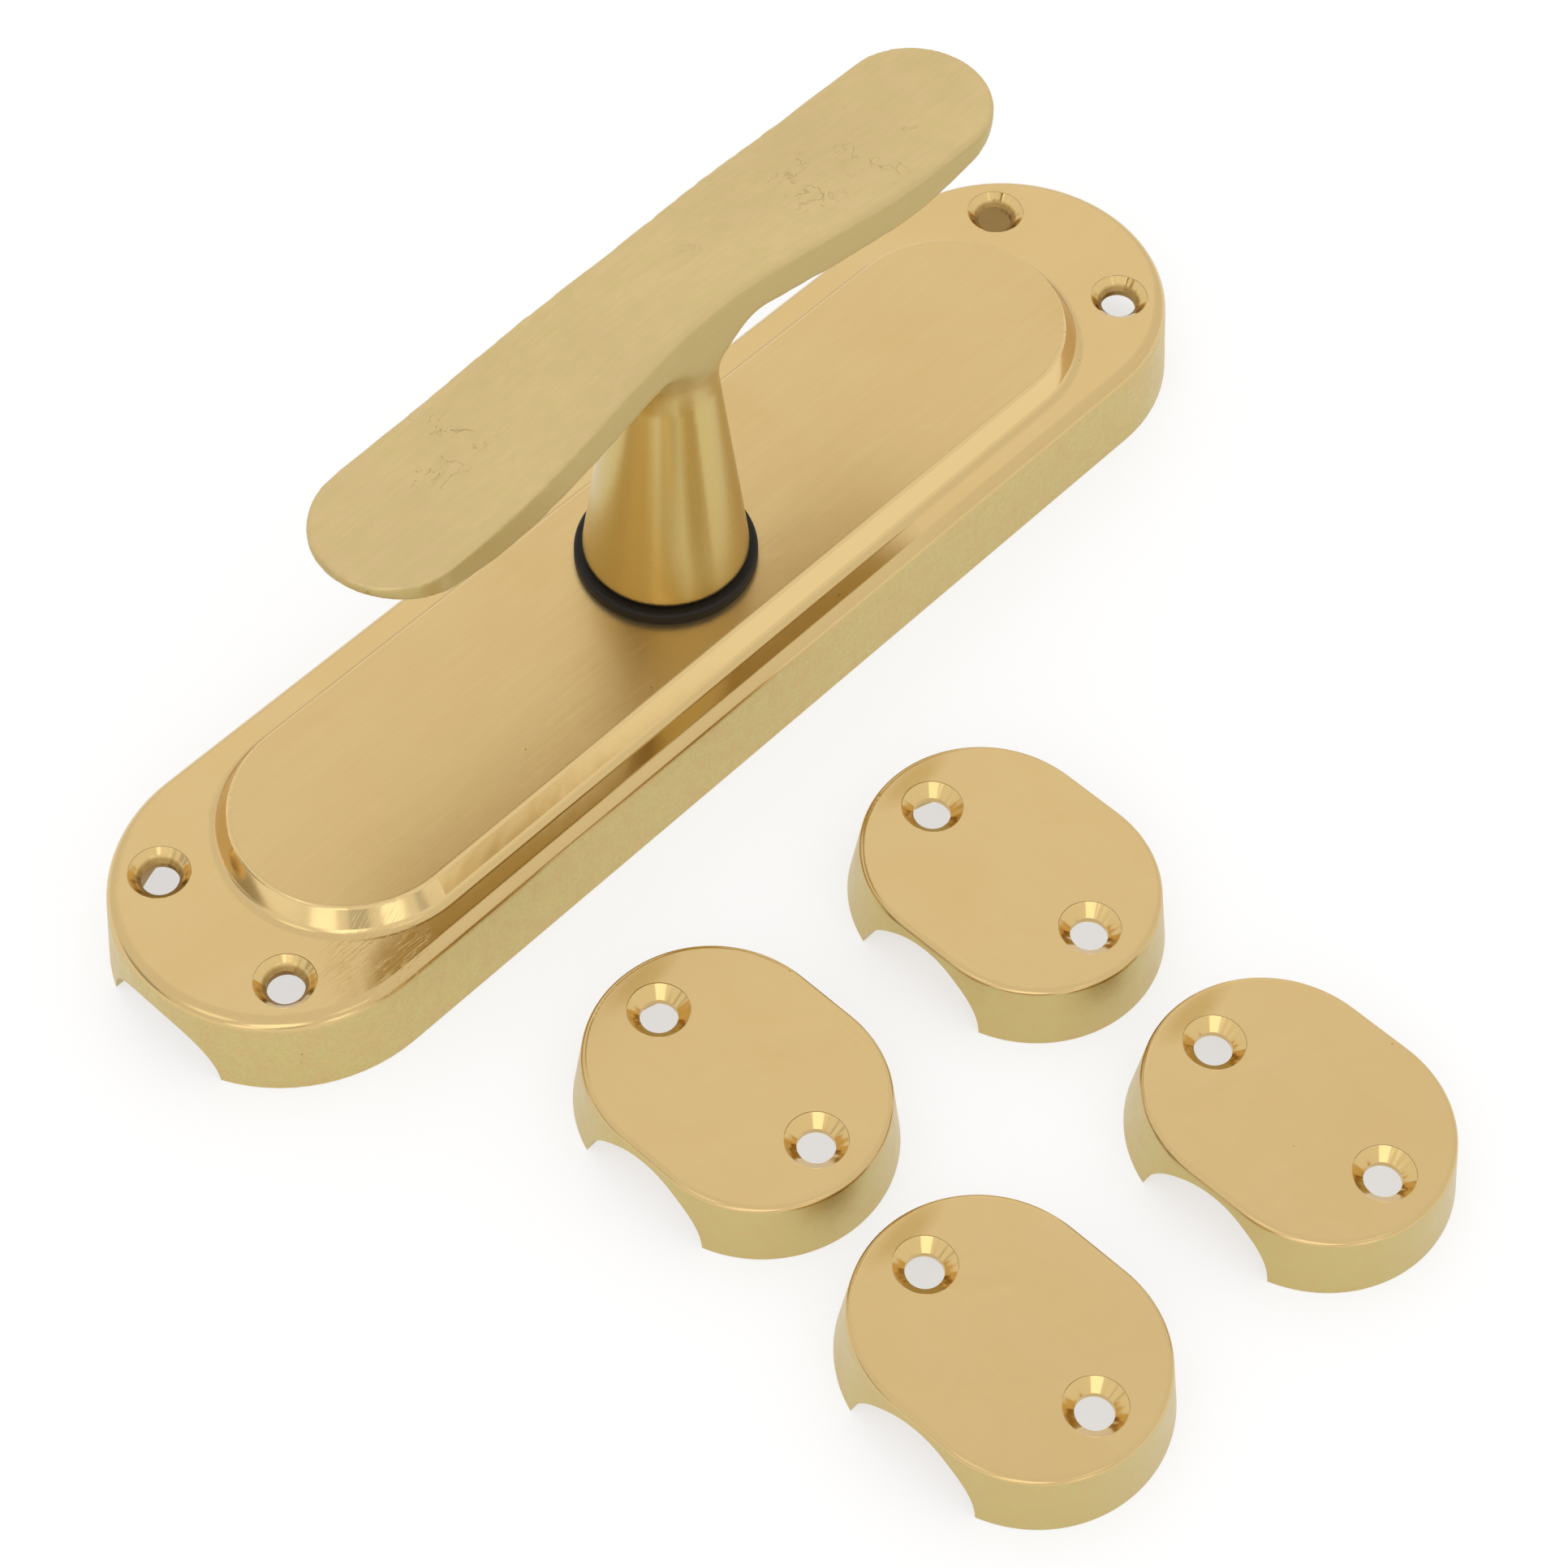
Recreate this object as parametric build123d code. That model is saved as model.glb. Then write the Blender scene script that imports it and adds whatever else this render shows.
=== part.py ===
from build123d import *
import math
import os

# Surface-mounted double bolt gear: a quarter turn of the wing handle drives two half-round rods
# apart through a pinion and two racks under a hollow cover. Four rod guides belong to the set.
# Millimetres. Origin on the mounting plane, under the spindle. +X runs along the cover and the
# rods, +Y across it, and +Z points out of the door.

os.makedirs("parts", exist_ok=True)

# Cover
COVER_CENTRES = 139.4      # between the centres of its two round ends
COVER_BACK_R = 23.3        # end radius at the mounting plane
COVER_EDGE_R = 22.2        # end radius at the flange's top
COVER_H = 13.0
COVER_TOP_WALL = 2.4
COVER_SIDE_WALL = 2.4
COVER_EDGE_ROUND = 1.8
PANEL_CENTRES = 115.0      # raised panel
PANEL_FOOT_R = 17.7
PANEL_TOP_R = 15.7
PANEL_H = 3.5
PANEL_FOOT_ROUND = 1.5
PANEL_EDGE_ROUND = 0.7
PANEL_Z = COVER_H + PANEL_H
PANEL_CEILING = PANEL_Z - COVER_TOP_WALL

# Countersunk screw holes
SCREW_HOLE_R = 2.45
SCREW_HEAD_R = 4.0
COVER_SCREWS_X = 160.0
COVER_SCREWS_Y = 23.5

# Half-round rod passage, a low arch
ARCH_HALF_CHORD = 10.0
ARCH_H = 8.6
ARCH_R = (ARCH_HALF_CHORD**2 + ARCH_H**2) / (2 * ARCH_H)

# Rod guides
GUIDE_CENTRES = 8.6
GUIDE_BACK_R = 17.5
GUIDE_EDGE_R = 16.25
GUIDE_H = 10.0
GUIDE_WALL = 2.2
GUIDE_CEILING = 7.6
GUIDE_EDGE_ROUND = 0.8
GUIDE_SCREWS_Y = 27.0
GUIDE_PLACES = [(-2.5, -64.2), (-49.4, -60.4), (-4.7, -113.6), (-53.0, -108.6)]

# Wing handle
COLLAR_R = 12.3
COLLAR_TOP = PANEL_Z + 1.7
NECK_FOOT_Z = COLLAR_TOP + 0.1
NECK_FOOT_R = 11.2
NECK_WAIST_R = 6.9
NECK_WAIST_Z = 52.0
NECK_FLARE_R = 12.5
NECK_FLARE_Z = 63.5
BLADE_TURN = 1.45          # degrees that the hand-finished wing stands off the cover's axis
BLADE_OFFSET = 0.1         # its offset to the far side of the neck
BLADE_SHIFT = 0.3          # its offset along the cover
BLADE_HALF_LENGTH = 57.6
BLADE_WAIST = 8.3          # half-widths of the blade
BLADE_LOBE = 10.3
BLADE_TOP_MIDDLE = 69.8
BLADE_TOP_LOBE = 65.5
BLADE_TIP_TOP = 65.2
BLADE_UNDER_MIDDLE = 63.2
BLADE_UNDER_LOBE = 60.1
BLADE_TIP_UNDER = 64.3
BLADE_TOP_ROUND = 0.45
BLADE_UNDER_ROUND = 0.6

# Spindle and its fits
SPINDLE_SQUARE = 7.0
SPINDLE_FIT = 0.1          # how much wider a square socket is than the bar
SPINDLE_END = 2.2
SPINDLE_SHOULDER = 4.6
SPINDLE_TOP = 40.0
HUB_R = 6.0
BUSH_BORE_R = 6.05
BUSH_R = 8.0
BUSH_FLANGE_R = 10.0
BUSH_FLANGE_H = 1.4
GRUB_Z = 28.0
GRUB_R = 2.45

# Pinion and racks
MODULE = 2.0
TEETH = 12
PRESSURE_ANGLE = math.radians(25)
ADDENDUM = 1.8
DEDENDUM = 2.2
BACKLASH = 0.16            # taken from each tooth's thickness at the pitch line
PITCH_R = MODULE * TEETH / 2
PITCH = math.pi * MODULE
GEAR_LOW = 4.7
PINION_TOP = 10.5
RACK_TOP = 10.2
RACK_BACK = 18.4
RACK_TEETH = 7
RACK_TAIL = -14.0
TRAVEL = PITCH_R * math.pi / 2
FOOT_INNER = 54.0
FOOT_OUTER = 66.0
FOOT_LOW = 7.5
FOOT_REACH = -8.0
PEG_X = 60.0
PEG_R = 3.0
PEG_END = 1.5
PEG_SHANK_R = 2.0

# Gear tray at the back
PLATE_T = 1.6
PLATE_LENGTH = 64.0
PLATE_WIDTH = 39.0
POST_X = 27.0
POST_R = 3.5
STRIP_TOP = 4.4
STRIP_INNER = 14.6
STRIP_OUTER = 19.4
STRIP_LIP = 18.7
STRIP_LIP_TOP = 8.8
STRIP_HALF_LENGTH = 28.0
RIVET_X = 22.0
RIVET_Y = 16.6
DETENT_R = 7.7             # distance of the detent from the spindle
DETENT_RIVET_X = -18.0


def drafted_slot(centres, low_r, high_r, low_z, high_z):
    """Straight-sided, round-ended solid whose end radius changes evenly with height."""
    draft = math.degrees(math.atan((low_r - high_r) / (high_z - low_z)))
    outline = Pos(0, 0, low_z) * SlotCenterToCenter(centres, 2 * low_r)
    return extrude(outline, amount=high_z - low_z, taper=draft)


def radius_at(z, low_r, high_r, height):
    """End radius of a drafted slot at height z."""
    return low_r + (high_r - low_r) * z / height


def edges_at(solid, z):
    """Edges that lie in the plane at height z."""
    return solid.edges().filter_by_position(Axis.Z, z - 0.01, z + 0.01)


def disc(radius, low_z, high_z, x=0.0, y=0.0):
    """Round bar along Z."""
    middle = Pos(x, y, (low_z + high_z) / 2)
    return middle * Cylinder(radius, high_z - low_z)


def block(low, high):
    """Box from its lowest corner to its highest."""
    size = [b - a for a, b in zip(low, high)]
    middle = [(a + b) / 2 for a, b in zip(low, high)]
    return Pos(*middle) * Box(*size)


def half_turn(shape):
    """The same shape on the other side of the spindle."""
    return Rot(0, 0, 180) * shape


def screw_hole(x, y, top_z):
    """Through hole with a 90 degree countersink that opens upwards."""
    depth = SCREW_HEAD_R - SCREW_HOLE_R
    cone = Pos(x, y, top_z - depth / 2) * Cone(SCREW_HOLE_R, SCREW_HEAD_R, depth)
    return disc(SCREW_HOLE_R, top_z - 5, top_z, x, y) + cone


def arch_cutter(low_x, high_x):
    """Round bar along X whose top cuts the low arch for a half-round rod."""
    middle = Pos((low_x + high_x) / 2, 0, ARCH_H - ARCH_R)
    return middle * Rot(0, 90, 0) * Cylinder(ARCH_R, high_x - low_x)


def make_cover():
    """Hollow cast cover with a raised panel, posts for the back plate and stops for the racks."""
    shell = drafted_slot(COVER_CENTRES, COVER_BACK_R, COVER_EDGE_R, 0, COVER_H)
    shell = fillet(edges_at(shell, COVER_H), COVER_EDGE_ROUND)
    panel = drafted_slot(PANEL_CENTRES, PANEL_FOOT_R, PANEL_TOP_R, COVER_H, PANEL_Z)
    panel = fillet(edges_at(panel, PANEL_Z), PANEL_EDGE_ROUND)
    shell += panel
    foot = [e for e in edges_at(shell, COVER_H) if e.bounding_box().max.Y < PANEL_FOOT_R + 0.1]
    shell = fillet(foot, PANEL_FOOT_ROUND)

    flange_ceiling = COVER_H - COVER_TOP_WALL
    ceiling_r = radius_at(flange_ceiling, COVER_BACK_R, COVER_EDGE_R, COVER_H)
    hollow = drafted_slot(
        COVER_CENTRES, COVER_BACK_R - COVER_SIDE_WALL, ceiling_r - COVER_SIDE_WALL, 0, flange_ceiling
    )
    hollow += drafted_slot(
        PANEL_CENTRES, PANEL_FOOT_R - 2.6, PANEL_TOP_R - 2.2, flange_ceiling, PANEL_CEILING
    )
    shell -= hollow
    shell -= disc(BUSH_R, PANEL_CEILING - 1, PANEL_Z + 1)

    tail_stop = block(
        (RACK_TAIL - TRAVEL - 2.3, STRIP_INNER, GEAR_LOW), (RACK_TAIL - TRAVEL - 0.3, 21.5, COVER_H - 1)
    )
    foot_stop = block((FOOT_OUTER + 0.3, -7, FOOT_LOW), (FOOT_OUTER + 2.3, 7, PANEL_CEILING + 1))
    for turned in (lambda shape: shape, half_turn):
        shell += turned(tail_stop)
        shell += turned(foot_stop)
        shell += turned(disc(POST_R, PLATE_T, PANEL_Z - 1, POST_X))
        shell -= turned(disc(1.25, PLATE_T, 9.2, POST_X))
        shell -= turned(arch_cutter(COVER_CENTRES / 2 + 5, COVER_CENTRES / 2 + COVER_BACK_R + 5))
    for x in (-COVER_SCREWS_X / 2, COVER_SCREWS_X / 2):
        for y in (-COVER_SCREWS_Y / 2, COVER_SCREWS_Y / 2):
            shell -= screw_hole(x, y, COVER_H)
    return shell


def make_guide():
    """Hollow rod guide, longer across the rod, with a countersunk hole on each side of it."""
    shell = drafted_slot(GUIDE_CENTRES, GUIDE_BACK_R, GUIDE_EDGE_R, 0, GUIDE_H)
    shell = fillet(edges_at(shell, GUIDE_H), GUIDE_EDGE_ROUND)
    ceiling_r = radius_at(GUIDE_CEILING, GUIDE_BACK_R, GUIDE_EDGE_R, GUIDE_H)
    shell -= drafted_slot(
        GUIDE_CENTRES, GUIDE_BACK_R - GUIDE_WALL, ceiling_r - GUIDE_WALL, 0, GUIDE_CEILING
    )
    shell = Rot(0, 0, 90) * shell
    shell -= arch_cutter(-GUIDE_BACK_R - 2, GUIDE_BACK_R + 2)
    for y in (-GUIDE_SCREWS_Y / 2, GUIDE_SCREWS_Y / 2):
        shell -= screw_hole(0, y, GUIDE_H)
    return shell


def blade_plan():
    """Top outline of the wing: a waist in the middle, two lobes and round tips."""
    tip_x = BLADE_HALF_LENGTH - BLADE_LOBE
    side = [(-tip_x, BLADE_LOBE), (-38, BLADE_LOBE), (-19, 9.4), (0, BLADE_WAIST)]
    side += [(-x, y) for x, y in reversed(side[:-1])]
    far = Spline(*side, tangents=((1, 0), (1, 0)))
    near = mirror(far, Plane.XZ)
    right = ThreePointArc((tip_x, BLADE_LOBE), (BLADE_HALF_LENGTH, 0), (tip_x, -BLADE_LOBE))
    return make_face([far, right, near, mirror(right, Plane.YZ)])


def blade_profile():
    """Side outline of the wing: crowned over the neck, thickest at the lobes, thin at the tips."""
    reach = BLADE_HALF_LENGTH + 3
    top = [(-reach, BLADE_TIP_TOP), (-45, BLADE_TOP_LOBE), (-33, 66.2), (-17, 68.5), (0, BLADE_TOP_MIDDLE)]
    under = [(-reach, BLADE_TIP_UNDER), (-53, 62.6), (-38, BLADE_UNDER_LOBE)]
    under += [(-24, 61.2), (0, BLADE_UNDER_MIDDLE)]
    crown = Spline(*top, *[(-x, z) for x, z in reversed(top[:-1])])
    belly = Spline(*under, *[(-x, z) for x, z in reversed(under[:-1])])
    ends = [Line((x, BLADE_TIP_TOP), (x, BLADE_TIP_UNDER)) for x in (-reach, reach)]
    return Plane.XZ * make_face([crown, belly, *ends])


def make_handle():
    """Wing handle cast in one piece with its conical neck."""
    plan = Pos(0, 0, NECK_WAIST_Z - 5) * extrude(blade_plan(), amount=30)
    blade = plan & (Pos(0, 30, 0) * extrude(blade_profile(), amount=60))
    blade = fillet(blade.faces().sort_by(Axis.Z)[-1].edges(), BLADE_TOP_ROUND)
    blade = fillet(blade.faces().sort_by(Axis.Z)[0].edges(), BLADE_UNDER_ROUND)

    cone = Polyline(
        (0, NECK_WAIST_Z), (0, NECK_FOOT_Z), (NECK_FOOT_R - 0.6, NECK_FOOT_Z),
        (NECK_FOOT_R, NECK_FOOT_Z + 0.6), (NECK_WAIST_R, NECK_WAIST_Z), close=True,
    )
    neck = revolve(Plane.XZ * make_face(cone), Axis.Z)
    flare = Spline(
        (NECK_WAIST_R, NECK_WAIST_Z), (NECK_WAIST_R + 0.5, 57), (NECK_FLARE_R, NECK_FLARE_Z),
        tangents=((0, 1), (1, 0.3)),
    )
    cap = Polyline(
        (NECK_FLARE_R, NECK_FLARE_Z), (0, NECK_FLARE_Z), (0, NECK_WAIST_Z), (NECK_WAIST_R, NECK_WAIST_Z)
    )
    throat = revolve(Plane.XZ * make_face([flare, cap]), Axis.Z)
    place = Rot(0, 0, BLADE_TURN) * Pos(BLADE_SHIFT, BLADE_OFFSET, 0)
    handle = neck + place * blade + (throat & place * plan)

    socket = SPINDLE_SQUARE + SPINDLE_FIT
    handle -= block((-socket / 2, -socket / 2, NECK_FOOT_Z - 1), (socket / 2, socket / 2, SPINDLE_TOP + 1))
    return handle - Pos(0, 8, GRUB_Z) * Rot(90, 0, 0) * Cylinder(GRUB_R + 0.05, 12)


def make_grub_screw():
    """Headless screw with a hexagon socket, tight against the spindle."""
    low_y = SPINDLE_SQUARE / 2
    length = 5.6
    body = Pos(0, low_y + length / 2, GRUB_Z) * Rot(90, 0, 0) * Cylinder(GRUB_R, length)
    socket = extrude(RegularPolygon(1.25, 6, major_radius=False), amount=4)
    return body - Pos(0, low_y + length - 2.4, GRUB_Z) * Rot(-90, 0, 0) * socket


def make_collar():
    """Black ring between the handle's neck and the panel."""
    ring = disc(COLLAR_R, PANEL_Z, COLLAR_TOP) - disc(HUB_R + 0.4, PANEL_Z - 1, COLLAR_TOP + 1)
    outer = edges_at(ring, COLLAR_TOP).filter_by(lambda e: e.length > 6 * COLLAR_R)
    return fillet(outer, 0.5)


def make_bush():
    """Flanged bush pressed into the panel from behind."""
    bush = disc(BUSH_R, PANEL_CEILING, PANEL_Z)
    bush += disc(BUSH_FLANGE_R, PANEL_CEILING - BUSH_FLANGE_H, PANEL_CEILING)
    return bush - disc(BUSH_BORE_R, PANEL_CEILING - 5, PANEL_Z + 1)


def make_spindle():
    """Square bar with a turned rear end, grooved for the retaining ring."""
    half = SPINDLE_SQUARE / 2
    bar = block((-half, -half, SPINDLE_SHOULDER), (half, half, SPINDLE_TOP))
    bar = chamfer(bar.edges().filter_by(Axis.Z), 0.5)
    bar = chamfer(edges_at(bar, SPINDLE_TOP), 0.6)
    bar += disc(3.3, SPINDLE_END, SPINDLE_SHOULDER)
    groove = disc(4, 3.6, 4.45) - disc(2.75, 3.5, 4.5)
    return bar - groove


def make_retaining_ring():
    """Open spring clip in the spindle's groove."""
    ring = disc(5.4, 3.65, 4.4) - disc(2.8, 3.5, 4.5)
    return ring - block((0, -2.2, 3), (6, 2.2, 5))


def make_disc_spring():
    """Slightly conical spring washer round the pinion's hub."""
    section = Polyline((HUB_R + 0.4, 10.7), (9.4, 12.2), (9.4, 12.6), (HUB_R + 0.4, 11.1), close=True)
    return revolve(Plane.XZ * make_face(section), Axis.Z)


def pinion_tooth():
    """One involute tooth that points along +X, rooted inside the gear's body."""
    base_r = PITCH_R * math.cos(PRESSURE_ANGLE)
    tip_r = PITCH_R + ADDENDUM
    inner_r = PITCH_R - DEDENDUM - 0.5
    half_tooth = (PITCH / 2 - BACKLASH) / (2 * PITCH_R)
    half_base = half_tooth + math.tan(PRESSURE_ANGLE) - PRESSURE_ANGLE
    flank = []
    for step in range(5):
        r = base_r + (tip_r - base_r) * step / 4
        roll = math.sqrt((r / base_r) ** 2 - 1)
        angle = half_base - (roll - math.atan(roll))
        flank.append((r * math.cos(angle), r * math.sin(angle)))
    root = (inner_r * math.cos(half_base), inner_r * math.sin(half_base))
    upper = Curve() + [Line(root, flank[0]), Spline(*flank)]
    lower = mirror(upper, Plane.XZ)
    crown = ThreePointArc(flank[-1], (tip_r, 0), (flank[-1][0], -flank[-1][1]))
    seat = Line(root, (root[0], -root[1]))
    return make_face((upper + lower + [crown, seat]).edges())


def make_pinion():
    """Pinion with a round hub that runs in the bush and carries the square spindle."""
    outline = Circle(PITCH_R - DEDENDUM)
    for tooth in range(TEETH):
        outline += Rot(0, 0, 360 * tooth / TEETH) * pinion_tooth()
    gear = Pos(0, 0, GEAR_LOW) * extrude(outline, amount=PINION_TOP - GEAR_LOW)
    gear += disc(HUB_R, PINION_TOP - 1, COLLAR_TOP - 0.1)
    socket = (SPINDLE_SQUARE + SPINDLE_FIT) / 2
    gear -= block((-socket, -socket, 0), (socket, socket, 30))
    for angle in (-90, 180):
        gear -= Rot(0, 0, angle) * Pos(DETENT_R, 0, GEAR_LOW - 0.7) * Sphere(1.3)
    return gear


def rack_outline():
    """Toothed bar beside the pinion with a foot that reaches over the rod's end."""
    tip_y = PITCH_R - ADDENDUM
    root_y = PITCH_R + DEDENDUM
    slope = math.tan(PRESSURE_ANGLE)
    half_pitch = (PITCH / 2 - BACKLASH) / 2
    half_tip = half_pitch - ADDENDUM * slope
    half_root = half_pitch + DEDENDUM * slope
    points = [(RACK_TAIL, RACK_BACK), (RACK_TAIL, root_y)]
    for tooth in range(RACK_TEETH):
        x = (tooth - 1.5) * PITCH
        points += [(x - half_root, root_y), (x - half_tip, tip_y)]
        points += [(x + half_tip, tip_y), (x + half_root, root_y)]
    points += [(FOOT_OUTER, root_y), (FOOT_OUTER, RACK_BACK)]
    return make_face(Polyline(*points, close=True))


def make_rack():
    """Rack with its riveting hole for the rod peg."""
    bar = Pos(0, 0, GEAR_LOW) * extrude(rack_outline(), amount=RACK_TOP - GEAR_LOW)
    foot = block((FOOT_INNER, FOOT_REACH, FOOT_LOW), (FOOT_OUTER, RACK_BACK, RACK_TOP))
    foot = fillet(foot.edges().filter_by(Axis.Z).filter_by_position(Axis.Y, -9, -7), 4)
    return bar + foot - disc(PEG_SHANK_R, 0, 20, PEG_X)


def make_peg():
    """Peg riveted in the rack's foot; its free end enters the hole in the rod."""
    peg = disc(PEG_R, PEG_END, FOOT_LOW, PEG_X)
    peg = chamfer(edges_at(peg, PEG_END), 0.6)
    peg += disc(PEG_SHANK_R, FOOT_LOW, RACK_TOP, PEG_X)
    return peg + disc(PEG_SHANK_R + 0.8, RACK_TOP, RACK_TOP + 0.7, PEG_X)


def make_slide_strip():
    """Plastic strip that carries a rack and backs it behind the teeth."""
    strip = block((-STRIP_HALF_LENGTH, STRIP_INNER, PLATE_T), (STRIP_HALF_LENGTH, STRIP_OUTER, STRIP_TOP))
    strip += block((-STRIP_HALF_LENGTH, STRIP_LIP, PLATE_T), (STRIP_HALF_LENGTH, STRIP_OUTER, STRIP_LIP_TOP))
    for x in (-RIVET_X, RIVET_X):
        strip -= disc(1.2, 0, 3.9, x, RIVET_Y)
    return strip


def make_strip_rivets():
    """Four flush rivets that hold the strips on the back plate."""
    rivets = []
    for x in (-RIVET_X, RIVET_X):
        for y in (-RIVET_Y, RIVET_Y):
            head = Pos(x, y, 0.35) * Cone(2.0, 1.3, 0.7)
            rivets.append(head + disc(1.2, 0, 3.9, x, y))
    return Compound(children=rivets)


def make_back_plate():
    """Steel plate that closes the gear from behind, flush with the cover's rim."""
    plate = extrude(RectangleRounded(PLATE_LENGTH, PLATE_WIDTH, 5), amount=PLATE_T)
    for x in (-RIVET_X, RIVET_X):
        for y in (-RIVET_Y, RIVET_Y):
            plate -= disc(1.2, -1, 3, x, y) + Pos(x, y, 0.35) * Cone(2.0, 1.3, 0.7)
    for x in (-POST_X, POST_X):
        plate -= disc(1.6, -1, 3, x) + Pos(x, 0, 0.65) * Cone(3.0, 1.7, 1.3)
    return plate - disc(1.1, -1, 3, DETENT_RIVET_X, -DETENT_R)


def make_back_screws():
    """Two countersunk screws with cross recesses, up into the cover's posts."""
    screws = []
    for x in (-POST_X, POST_X):
        head = Pos(x, 0, 0.6) * Cone(2.9, 1.7, 1.2)
        screw = head + disc(1.25, 1.0, 8.4, x)
        screw -= block((x - 1.6, -0.35, -1), (x + 1.6, 0.35, 0.7))
        screw -= block((x - 0.35, -1.6, -1), (x + 0.35, 1.6, 0.7))
        screws.append(screw)
    return Compound(children=screws)


def make_detent_spring():
    """Leaf spring whose nose clicks into a dimple in the pinion's rear face."""
    upper = [(-21, 2.0), (-11, 2.0), (-2.2, 4.0), (0, 4.6), (2.2, 3.8)]
    lower = [(x, z - 0.4) for x, z in reversed(upper)]
    section = make_face(Polyline(*upper, *lower, close=True))
    leaf = extrude(Plane.XZ * section, amount=1.7, both=True)
    leaf = Pos(0, -DETENT_R, 0) * leaf
    return leaf - disc(1.1, 0, 4, DETENT_RIVET_X, -DETENT_R)


def make_detent_rivet():
    """Rivet through the leaf spring and the back plate."""
    shank = disc(1.1, 0, 2.0, DETENT_RIVET_X, -DETENT_R)
    return shank + disc(1.7, 2.0, 2.6, DETENT_RIVET_X, -DETENT_R)


nodes = {
    "cover_plate": make_cover(),
    "lever_handle": make_handle(),
    "grub_screw": make_grub_screw(),
    "collar_ring": make_collar(),
    "bearing_bush": make_bush(),
    "spindle": make_spindle(),
    "retaining_ring": make_retaining_ring(),
    "disc_spring": make_disc_spring(),
    "drive_pinion": make_pinion(),
    "rack_a": make_rack(),
    "rack_b": half_turn(make_rack()),
    "rod_peg_a": make_peg(),
    "rod_peg_b": half_turn(make_peg()),
    "slide_strip_a": make_slide_strip(),
    "slide_strip_b": half_turn(make_slide_strip()),
    "strip_rivets": make_strip_rivets(),
    "gear_back_plate": make_back_plate(),
    "back_plate_screws": make_back_screws(),
    "detent_spring": make_detent_spring(),
    "detent_rivet": make_detent_rivet(),
}
for number, (x, y) in enumerate(GUIDE_PLACES, start=1):
    nodes[f"rod_guide_{number}"] = Pos(x, y, 0) * make_guide()

for name, shape in nodes.items():
    export_step(shape, f"parts/{name}.step")
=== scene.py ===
import functools
import math

import bpy
from mathutils import Matrix, Vector


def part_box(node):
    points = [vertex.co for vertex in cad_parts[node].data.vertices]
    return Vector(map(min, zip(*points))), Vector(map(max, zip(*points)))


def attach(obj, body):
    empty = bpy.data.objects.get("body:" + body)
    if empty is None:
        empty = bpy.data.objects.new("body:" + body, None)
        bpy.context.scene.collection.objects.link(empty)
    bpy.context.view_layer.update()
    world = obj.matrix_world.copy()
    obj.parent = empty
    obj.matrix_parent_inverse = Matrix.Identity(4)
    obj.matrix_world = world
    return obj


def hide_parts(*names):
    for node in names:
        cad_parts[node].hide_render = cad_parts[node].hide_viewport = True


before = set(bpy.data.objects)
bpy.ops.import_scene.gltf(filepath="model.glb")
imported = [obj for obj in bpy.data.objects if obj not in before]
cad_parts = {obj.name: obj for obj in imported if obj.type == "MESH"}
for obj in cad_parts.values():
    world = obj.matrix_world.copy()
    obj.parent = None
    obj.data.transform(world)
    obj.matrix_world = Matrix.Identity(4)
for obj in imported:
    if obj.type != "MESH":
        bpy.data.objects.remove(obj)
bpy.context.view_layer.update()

MM = 0.001

# The photograph's view
VIEW_AZIMUTH = -48.1646          # degrees, 0 looks along +Y
VIEW_ELEVATION = 54.5772
VIEW_ROLL = 1.8101
VIEW_DISTANCE = 0.51273
VIEW_TARGET = Vector((-14.889, -35.797, 13.0)) * MM
VIEW_LENS = 91.06

# Sizes that the materials and the handle's skin need, in millimetres
COVER_HALF_CENTRES = 69.7        # from the middle to the centre of each round end
COVER_WALL_INNER = 21.8          # from the cover's middle line to the inner face of its walls
COVER_HOLES = [(x, y) for x in (-80.0, 80.0) for y in (-11.75, 11.75)]
PANEL_Z = 16.5
FLANGE_Z = 13.0
GUIDE_TOP = 10.0
GUIDE_COUNT = 4
GUIDE_HOLES = [(0.0, y) for y in (-13.5, 13.5)]      # from a guide's middle
SCREW_HEAD_R = 4.0
HANDLE_VOXEL = 0.4
FLOOR_DROP = 0.1                 # how far the floor lies under the parts
FLOOR_HALF = 2500.0

# Zones of the wing handle, in millimetres, each pair from where a zone starts to where it is full
NECK_LOOK_Z = (59.5, 55.5)       # the turned look, downwards from the throat
ABOVE_FOOT_Z = (19.0, 20.5)
BLADE_Z = (55.0, 60.0)
BLADE_MIDDLE_X = (46.0, 24.0)
AROUND_SOCKET = (3.9, 4.6)       # out from the middle of the spindle's square socket
AROUND_GRUB_HOLE = (2.9, 4.0)    # out from the middle of the grub screw's hole
GRUB_Z = 28.0
THROAT_Z = 60.0                  # the middle of the throat between neck and wing
THROAT_HALF_X = 22.0
THROAT_HALF_Z = 9.0
HELD_EASE = 0.12                 # how much of the easing the held zones still get

# Rounds of smoothing: soft on the edges, fair along the wing's middle, throat where the neck meets it
EASING_ROUNDS = {"soft": 2, "fair": 22, "throat": 60}


# --- node helpers -------------------------------------------------------------------------------

def node(tree, kind, inputs=None, **settings):
    """A new node with its settings and with its inputs set to values or linked to sockets."""
    made = tree.nodes.new(kind)
    for key, value in settings.items():
        setattr(made, key, value)
    for key, value in (inputs or {}).items():
        if isinstance(value, bpy.types.NodeSocket):
            tree.links.new(value, made.inputs[key])
        else:
            made.inputs[key].default_value = value
    return made


def maths(tree, operation, a, b=0.0):
    return node(tree, "ShaderNodeMath", {0: a, 1: b}, operation=operation).outputs[0]


def times(tree, a, b):
    return maths(tree, "MULTIPLY", a, b)


def opposite(tree, value):
    """1 minus the value."""
    return maths(tree, "SUBTRACT", 1.0, value)


def combined(tree, operation, values):
    """All the values put together by one operation, such as their sum or the largest of them."""
    return functools.reduce(functools.partial(maths, tree, operation), values)


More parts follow.
